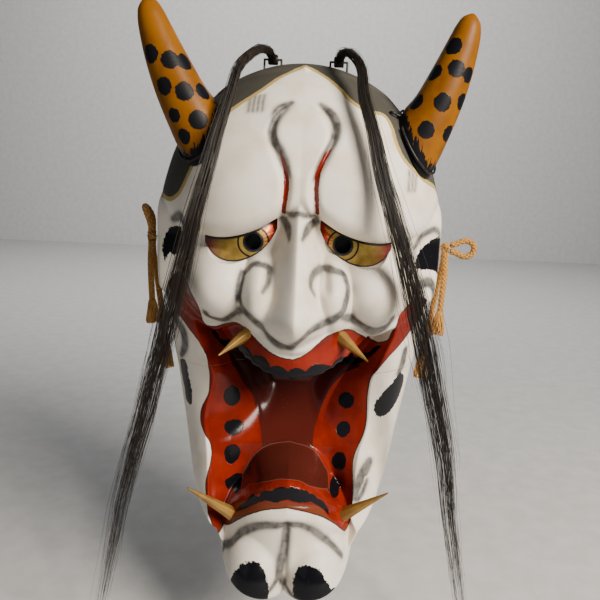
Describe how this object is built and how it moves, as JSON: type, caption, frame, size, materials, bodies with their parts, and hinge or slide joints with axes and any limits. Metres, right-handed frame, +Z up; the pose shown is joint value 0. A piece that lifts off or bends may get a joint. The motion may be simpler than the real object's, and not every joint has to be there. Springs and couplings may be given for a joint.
{
  "type": "noh mask",
  "caption": "Horned demon noh mask to hang on a wall: white carved face, open red mouth, gilt eyes, spotted horns, fangs, hair locks and tasselled ear cords.",
  "frame": {"origin": "mouth of the pin hole in the back of the crown, in the plane of the back rim", "axes": "+X to the viewer's right as the face is seen, +Y out of the back towards the wall, +Z up"},
  "size_m": [0.2929, 0.1314, 0.4682],
  "materials": {
    "white_lacquer": "gloss lacquer over wood",
    "red_lacquer": "gloss lacquer over wood",
    "dowel_wood": "raw",
    "gilt_plate": "gilt, satin",
    "ochre_lacquer": "gloss lacquer over wood",
    "black_wire": "matte black",
    "gold_brown_lacquer": "satin lacquer over wood",
    "black_hair": "straight hair",
    "staple_wire": "plain wire",
    "cord_braid": "braided cord",
    "tassel_fringe": "loose yarn",
    "pale_thread": "cotton thread"
  },
  "bodies": {
    "mask": {"upper_face": "white_lacquer", "lower_jaw": "red_lacquer", "jaw_dowels": "dowel_wood", "left_eye": "gilt_plate", "right_eye": "gilt_plate", "left_horn": "ochre_lacquer", "right_horn": "ochre_lacquer", "left_horn_dowel": "dowel_wood", "right_horn_dowel": "dowel_wood", "left_horn_wire": "black_wire", "right_horn_wire": "black_wire", "upper_left_fang": "gold_brown_lacquer", "upper_right_fang": "gold_brown_lacquer", "lower_left_fang": "gold_brown_lacquer", "lower_right_fang": "gold_brown_lacquer", "left_hair_staple": "staple_wire", "right_hair_staple": "staple_wire", "left_tie_thread": "pale_thread", "right_tie_thread": "pale_thread"},
    "left_cord": {"left_cord_knot": "cord_braid", "left_cord_loop": "cord_braid", "left_short_tail": "cord_braid", "left_long_tail": "cord_braid", "left_short_tassel": "tassel_fringe", "left_long_tassel": "tassel_fringe"},
    "left_hair": {"left_hair_lock": "black_hair", "left_hair_root": "black_hair"},
    "right_cord": {"right_cord_knot": "cord_braid", "right_cord_loop": "cord_braid", "right_short_tail": "cord_braid", "right_long_tail": "cord_braid", "right_short_tassel": "tassel_fringe", "right_long_tassel": "tassel_fringe"},
    "right_hair": {"right_hair_lock": "black_hair", "right_hair_root": "black_hair"}
  },
  "joints": [
    {"name": "left_cord_swing", "type": "hinge", "parent": "mask", "child": "left_cord", "pos_m": [-0.11205, -0.01522, -0.13512], "axis": [-1, 0, 0], "range_deg": [0, 25]},
    {"name": "left_hair_lift", "type": "hinge", "parent": "mask", "child": "left_hair", "pos_m": [-0.02492, -0.02367, 0.00212], "axis": [-1, 0, 0], "range_deg": [0, 30]},
    {"name": "right_cord_swing", "type": "hinge", "parent": "mask", "child": "right_cord", "pos_m": [0.11205, -0.01522, -0.13512], "axis": [-1, 0, 0], "range_deg": [0, 25]},
    {"name": "right_hair_lift", "type": "hinge", "parent": "mask", "child": "right_hair", "pos_m": [0.02492, -0.02367, 0.00212], "axis": [-1, 0, 0], "range_deg": [0, 30]}
  ]
}
